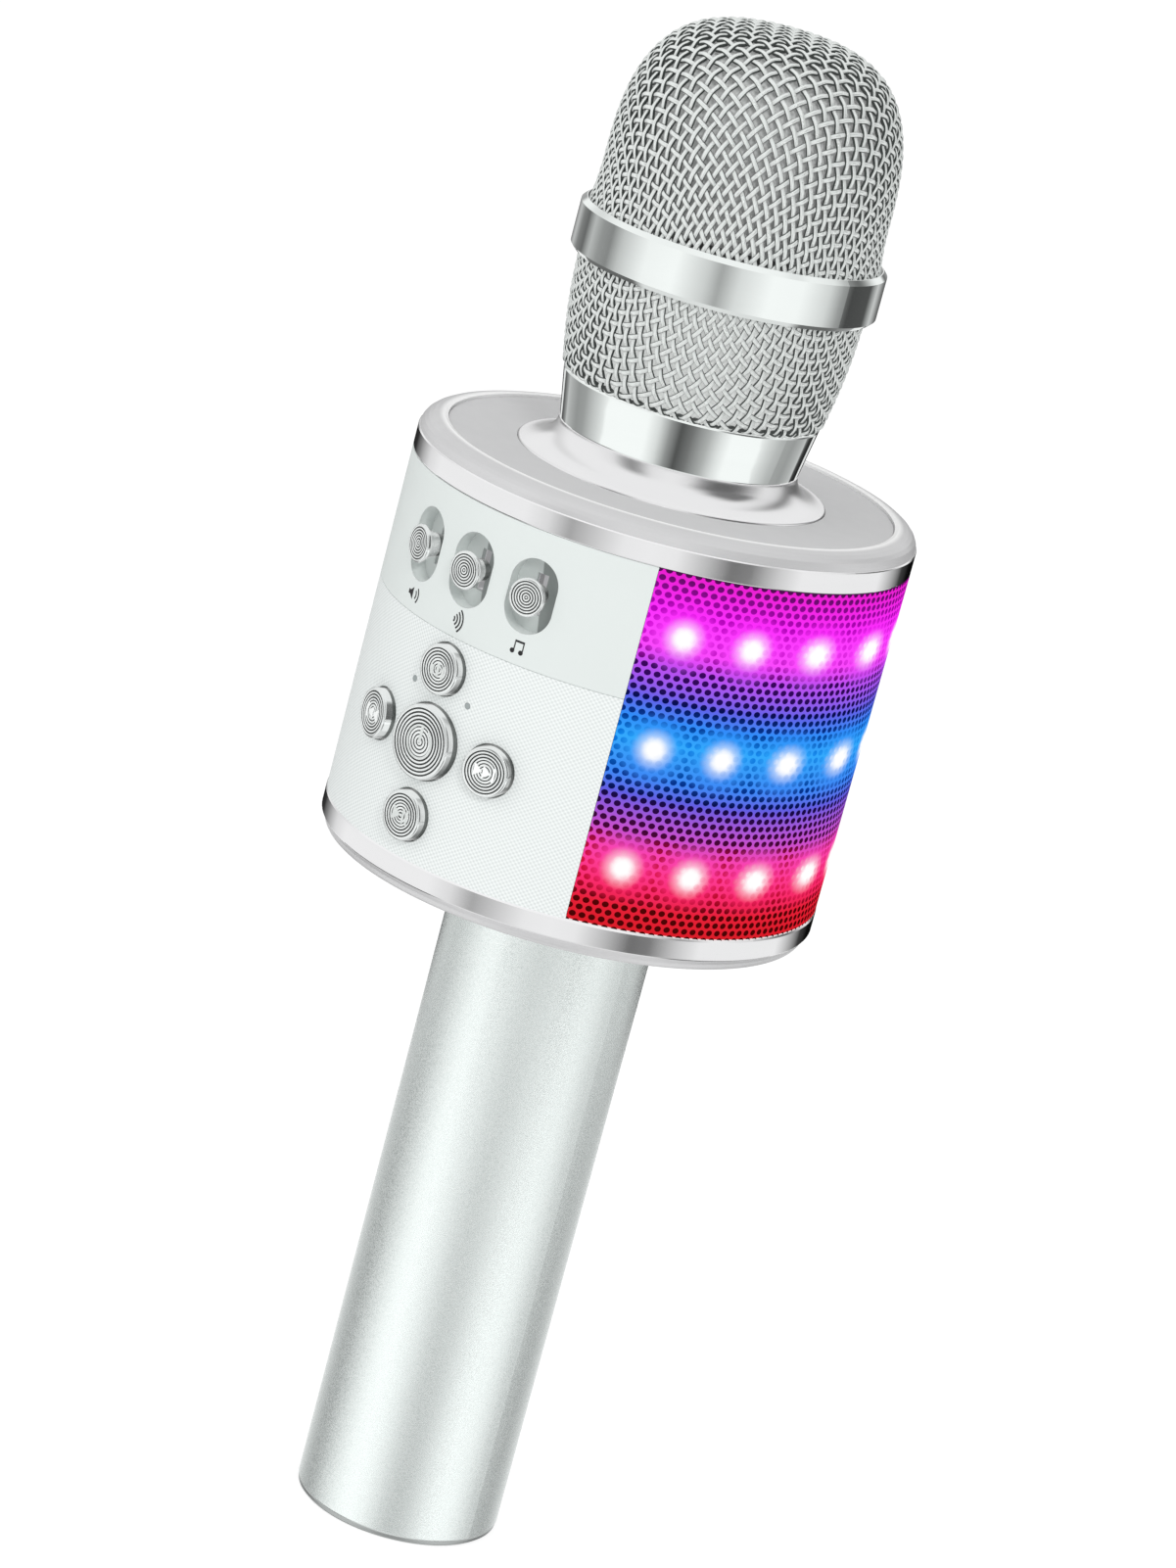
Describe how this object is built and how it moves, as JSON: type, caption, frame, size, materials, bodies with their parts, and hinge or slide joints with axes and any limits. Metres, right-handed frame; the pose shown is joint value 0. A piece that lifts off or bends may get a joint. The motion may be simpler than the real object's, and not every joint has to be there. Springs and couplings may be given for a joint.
{
  "type": "karaoke microphone",
  "caption": "Hand-held wireless karaoke microphone: tube handle, speaker drum with press buttons, slide knobs and lit perforated grille, woven-wire head.",
  "frame": {"origin": "centre of the handle's flat end face", "axes": "+Z along the microphone from the handle end to the wire dome; the control panel faces -Y; +X to the right as the panel is seen"},
  "size_m": [0.0822, 0.0838, 0.2564],
  "materials": {
    "handle_silver": "fine pearl satin",
    "dark_silver": "satin",
    "dark_plastic": "moulded",
    "cell_wrap": "shrink wrap",
    "steel": "plated",
    "bezel_white": "satin gloss",
    "chrome": "mirror plated",
    "chassis_plastic": "moulded",
    "panel_white": "smooth satin",
    "panel_weave": "fine woven texture",
    "grille_paint": "perforated, lit from behind",
    "diffuser": "milky",
    "strip_board": "flexible board",
    "light_package": "clear resin",
    "plate_grey": "finely lined",
    "skirt_white": "high gloss",
    "wire": "bright plated wire",
    "foam_dark": "open foam",
    "foam_light": "open foam",
    "rubber": "soft moulded",
    "capsule_brass": "plain",
    "circuit_board": "solder mask",
    "button_silver": "plated plastic with turned rings",
    "magnet": "sintered",
    "speaker_paper": "pressed paper",
    "light_pipe": "clear rod",
    "wire_sleeve": "insulated lead"
  },
  "bodies": {
    "body": {"handle_tube": "handle_silver", "handle_end_cap": "dark_silver", "battery_sled": "dark_plastic", "battery_cell": "cell_wrap", "battery_spring": "steel", "battery_contact": "steel", "bottom_cover": "bezel_white", "lower_trim_ring": "chrome", "drum_chassis": "chassis_plastic", "slider_panel": "panel_white", "button_panel": "panel_weave", "speaker_grille": "grille_paint", "light_diffuser": "diffuser", "light_strip_upper": "strip_board", "light_strip_middle": "strip_board", "light_strip_lower": "strip_board", "lights_upper": "light_package", "lights_middle": "light_package", "lights_lower": "light_package", "upper_trim_ring": "chrome", "top_bezel": "bezel_white", "top_plate": "plate_grey", "neck_skirt": "skirt_white", "neck_collar": "chrome", "lower_basket": "wire", "head_band": "chrome", "dome_mesh": "wire", "dome_foam": "foam_dark", "basket_foam": "foam_light", "capsule_holder": "rubber", "mic_capsule": "capsule_brass", "main_board": "circuit_board", "key_board": "circuit_board", "slider_board": "circuit_board", "slide_pots": "steel", "key_switches": "dark_plastic", "speaker_frame_left": "steel", "speaker_magnet_left": "magnet", "speaker_cone_left": "speaker_paper", "speaker_frame_right": "steel", "speaker_magnet_right": "magnet", "speaker_cone_right": "speaker_paper", "status_light_pipes": "light_pipe", "usb_socket": "steel", "aux_jack": "dark_plastic", "card_socket": "steel", "cover_screws": "steel", "board_screws": "steel", "wiring_loom": "wire_sleeve"},
    "power_button": {"power_button": "button_silver"},
    "mode_button": {"mode_button": "button_silver"},
    "previous_button": {"previous_button": "button_silver"},
    "next_button": {"next_button": "button_silver"},
    "play_button": {"play_button": "button_silver"},
    "volume_slider": {"volume_knob": "button_silver", "volume_lever": "steel"},
    "echo_slider": {"echo_knob": "button_silver", "echo_lever": "steel"},
    "music_slider": {"music_knob": "button_silver", "music_lever": "steel"}
  },
  "joints": [
    {"name": "power_press", "type": "slide", "parent": "body", "child": "power_button", "axis": [0, 1, 0], "range_m": [0, 0.0008], "stiffness_N_per_m": 1800, "springref_m": -0.0002},
    {"name": "mode_press", "type": "slide", "parent": "body", "child": "mode_button", "axis": [0, 1, 0], "range_m": [0, 0.0008], "stiffness_N_per_m": 1800, "springref_m": -0.0002},
    {"name": "previous_press", "type": "slide", "parent": "body", "child": "previous_button", "axis": [0.3007, 0.9537, 0], "range_m": [0, 0.0008], "stiffness_N_per_m": 1800, "springref_m": -0.0002},
    {"name": "next_press", "type": "slide", "parent": "body", "child": "next_button", "axis": [-0.3007, 0.9537, 0], "range_m": [0, 0.0008], "stiffness_N_per_m": 1800, "springref_m": -0.0002},
    {"name": "play_press", "type": "slide", "parent": "body", "child": "play_button", "axis": [0, 1, 0], "range_m": [0, 0.0008], "stiffness_N_per_m": 1800, "springref_m": -0.0002},
    {"name": "volume_slide", "type": "slide", "parent": "body", "child": "volume_slider", "axis": [0, 0, 1], "range_m": [-0.0023, 0.0023]},
    {"name": "echo_slide", "type": "slide", "parent": "body", "child": "echo_slider", "axis": [0, 0, 1], "range_m": [-0.0023, 0.0023]},
    {"name": "music_slide", "type": "slide", "parent": "body", "child": "music_slider", "axis": [0, 0, 1], "range_m": [-0.0023, 0.0023]}
  ]
}
